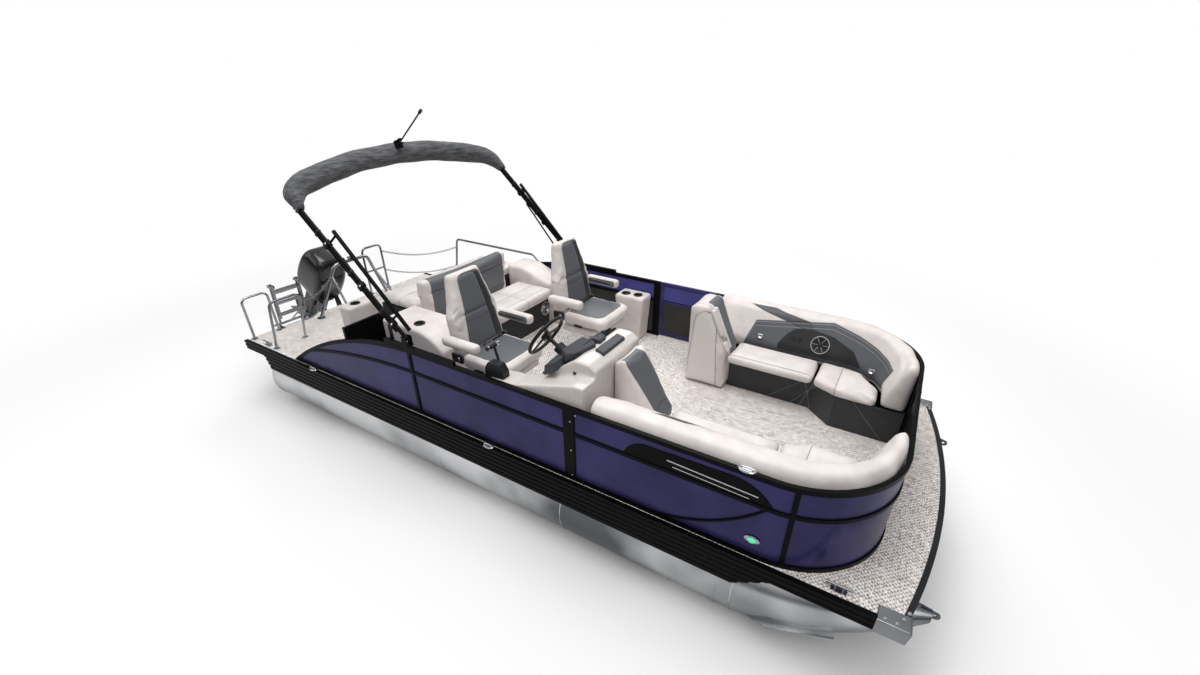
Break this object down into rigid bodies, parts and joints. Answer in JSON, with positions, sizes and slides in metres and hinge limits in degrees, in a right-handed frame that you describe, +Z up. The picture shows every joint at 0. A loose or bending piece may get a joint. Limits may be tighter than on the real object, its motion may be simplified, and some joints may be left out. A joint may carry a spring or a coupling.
{
  "type": "pontoon boat",
  "caption": "Pontoon boat with tubes under a flat deck, fenced cockpit with lounges and captain's chairs, helm, folding canopy hoop, boarding ladder and tilting outboard motor.",
  "frame": {"origin": "underside of the centre keel, level with the deck's aft edge, on the centre line", "axes": "+X forward to the bow, +Y to port, +Z up"},
  "size_m": [8.1972, 2.588, 3.0574],
  "materials": {
    "tube_aluminium": "mill finish",
    "deck_vinyl": "woven vinyl",
    "black_frame": "satin black powder coat",
    "bow_strip": "satin dark grey",
    "bright_steel": "polished stainless",
    "violet_panel": "gloss blue-violet",
    "console_shell": "cream gelcoat",
    "dash_black": "matt black",
    "wheel_black": "soft black rim",
    "cast_silver": "brushed",
    "seat_grey": "charcoal marine vinyl",
    "seat_cream": "off-white marine vinyl",
    "base_plastic": "dark moulded base",
    "canvas": "charcoal canvas",
    "motor_metal": "gloss black",
    "cowl_black": "gloss black",
    "prop_steel": "brushed stainless"
  },
  "bodies": {
    "hull": {"tube_starboard": "tube_aluminium", "tube_port": "tube_aluminium", "tube_centre": "tube_aluminium", "crossmembers": "tube_aluminium", "motor_pod": "tube_aluminium", "deck": "deck_vinyl", "side_rails": "black_frame", "bow_rail": "bow_strip", "deck_fittings": "bright_steel", "fence_frame_starboard": "black_frame", "fence_frame_port": "black_frame", "fence_panels_starboard": "violet_panel", "fence_panels_port": "violet_panel", "gate_posts": "black_frame", "stern_rails": "bright_steel", "tow_arch": "bright_steel", "safety_chains": "bright_steel", "helm_console": "console_shell", "dash": "dash_black", "seat_pedestals": "cast_silver", "rear_base": "base_plastic", "bench_seat": "seat_grey", "bench_back": "seat_cream", "seat_pods": "seat_cream", "lounge_base_port": "base_plastic", "lounge_base_starboard": "base_plastic", "bow_cushions": "seat_cream", "lounge_tower": "seat_cream", "bolsters": "seat_cream", "console_backrest": "seat_cream", "bimini_rails": "black_frame", "clamp_bracket": "motor_metal"},
    "bow_gate": {"bow_gate": "black_frame"},
    "port_gate": {"port_gate": "violet_panel"},
    "stern_gate": {"stern_gate": "black_frame"},
    "ladder_upper": {"ladder_upper": "bright_steel"},
    "ladder_lower": {"ladder_lower": "bright_steel"},
    "steering_wheel": {"steering_wheel": "wheel_black"},
    "helm_chair": {"helm_seat": "seat_grey", "helm_back": "seat_cream", "helm_arms": "seat_cream"},
    "mate_chair": {"mate_seat": "seat_grey", "mate_back": "seat_cream", "mate_arms": "seat_cream"},
    "sunpad": {"sunpad": "seat_cream"},
    "lounge_seat_port": {"lounge_seat_port": "seat_grey"},
    "lounge_seat_starboard": {"lounge_seat_starboard": "seat_grey"},
    "bimini": {"bimini_frame": "black_frame", "bimini_braces": "black_frame", "bimini_boot": "canvas"},
    "bimini_struts": {"bimini_struts": "black_frame"},
    "mast_light": {"mast_light": "dash_black"},
    "motor_swivel": {"swivel_bracket": "motor_metal"},
    "motor": {"motor_leg": "motor_metal", "motor_cowl": "cowl_black", "powerhead": "motor_metal"},
    "propeller": {"propeller": "prop_steel"}
  },
  "joints": [
    {"name": "bow_gate_hinge", "type": "hinge", "parent": "hull", "child": "bow_gate", "pos_m": [6.409, 0.3765, 1.07], "axis": [0, 0, 1], "range_deg": [0, 95]},
    {"name": "port_gate_hinge", "type": "hinge", "parent": "hull", "child": "port_gate", "pos_m": [4.4805, 1.203, 1.07], "axis": [0, 0, 1], "range_deg": [0, 90]},
    {"name": "stern_gate_hinge", "type": "hinge", "parent": "hull", "child": "stern_gate", "pos_m": [1.866, -1.1782, 1.07], "axis": [0, 0, 1], "range_deg": [0, 90]},
    {"name": "ladder_hinge", "type": "hinge", "parent": "hull", "child": "ladder_upper", "pos_m": [-0.038, -0.7, 0.765], "axis": [0, 1, 0], "range_deg": [-175, 0]},
    {"name": "ladder_fold", "type": "hinge", "parent": "ladder_upper", "child": "ladder_lower", "pos_m": [0.04941, -0.7, 1.23926], "axis": [0, 1, 0], "range_deg": [-175, 0]},
    {"name": "helm_swivel", "type": "hinge", "parent": "hull", "child": "helm_chair", "pos_m": [3.23, -0.7, 1.15], "axis": [0, 0, 1], "continuous": true},
    {"name": "mate_swivel", "type": "hinge", "parent": "hull", "child": "mate_chair", "pos_m": [3.44, 0.45, 1.15], "axis": [0, 0, 1], "continuous": true},
    {"name": "sunpad_lid", "type": "hinge", "parent": "hull", "child": "sunpad", "pos_m": [1.985, 0.35, 1.31], "axis": [0, 1, 0], "range_deg": [0, 70]},
    {"name": "lounge_lid_port", "type": "hinge", "parent": "hull", "child": "lounge_seat_port", "pos_m": [5.27, 0.845, 1.13], "axis": [1, 0, 0], "range_deg": [-65, 0]},
    {"name": "lounge_lid_starboard", "type": "hinge", "parent": "hull", "child": "lounge_seat_starboard", "pos_m": [5.25, -0.845, 1.13], "axis": [1, 0, 0], "range_deg": [0, 65]},
    {"name": "bimini_fold", "type": "hinge", "parent": "hull", "child": "bimini", "pos_m": [2.77, 0, 1.475], "axis": [0, 1, 0], "range_deg": [0, 55]},
    {"name": "bimini_strut_turn", "type": "hinge", "parent": "hull", "child": "bimini_struts", "pos_m": [2.555, 0, 1.52], "axis": [0, 1, 0], "range_deg": [0, 55]},
    {"name": "mast_fold", "type": "hinge", "parent": "bimini", "child": "mast_light", "pos_m": [1.6025, 0, 2.76317], "axis": [-0.6157, 0, 0.788], "range_deg": [0, 85]},
    {"name": "motor_tilt", "type": "hinge", "parent": "hull", "child": "motor_swivel", "pos_m": [-0.44, 0, 0.7], "axis": [0, 1, 0], "range_deg": [-43, 25]},
    {"name": "motor_steer", "type": "hinge", "parent": "motor_swivel", "child": "motor", "pos_m": [-0.50217, 0, 0.75035], "axis": [0.6293, 0, 0.7771], "range_deg": [-30, 30]},
    {"name": "propeller_spin", "type": "hinge", "parent": "motor", "child": "propeller", "pos_m": [-1.28392, 0, 0.34112], "axis": [0.7771, 0, -0.6293], "continuous": true},
    {"name": "wheel_turn", "type": "hinge", "parent": "hull", "child": "steering_wheel", "pos_m": [3.79, -0.7, 1.55], "axis": [-0.866, 0, 0.5], "range_deg": [-720, 720]}
  ],
  "couplings": [
    {"joint": "bimini_strut_turn", "follows": "bimini_fold", "ratio": 1},
    {"joint": "wheel_turn", "follows": "motor_steer", "ratio": -24}
  ]
}
